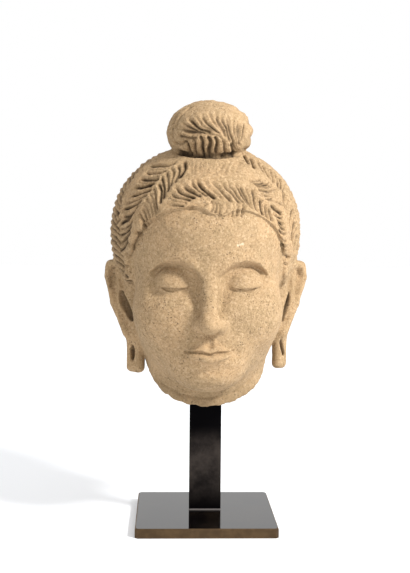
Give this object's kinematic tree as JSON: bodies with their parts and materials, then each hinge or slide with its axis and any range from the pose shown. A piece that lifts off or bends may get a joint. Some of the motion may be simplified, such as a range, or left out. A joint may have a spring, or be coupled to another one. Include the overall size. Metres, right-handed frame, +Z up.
{
  "type": "stone buddha head",
  "caption": "Carved stone Buddha head with wavy hair, topknot and long pierced ear lobes, broken at the neck, held up by a flat metal bar on a square base plate.",
  "frame": {"origin": "centre of the base plate's underside", "axes": "+Z up, through the upright to the topknot; the face looks along -Y; +X is at the right as seen from the front"},
  "size_m": [0.2284, 0.237, 0.4615],
  "materials": {
    "stone": "worn, fine-grained, matt",
    "blackened_bar": "blackened, waxed, semi-gloss",
    "patinated_plate": "dark brown patina, polished, glossy"
  },
  "bodies": {
    "root": {"head": "stone", "upright": "blackened_bar", "base_plate": "patinated_plate"}
  },
  "joints": []
}
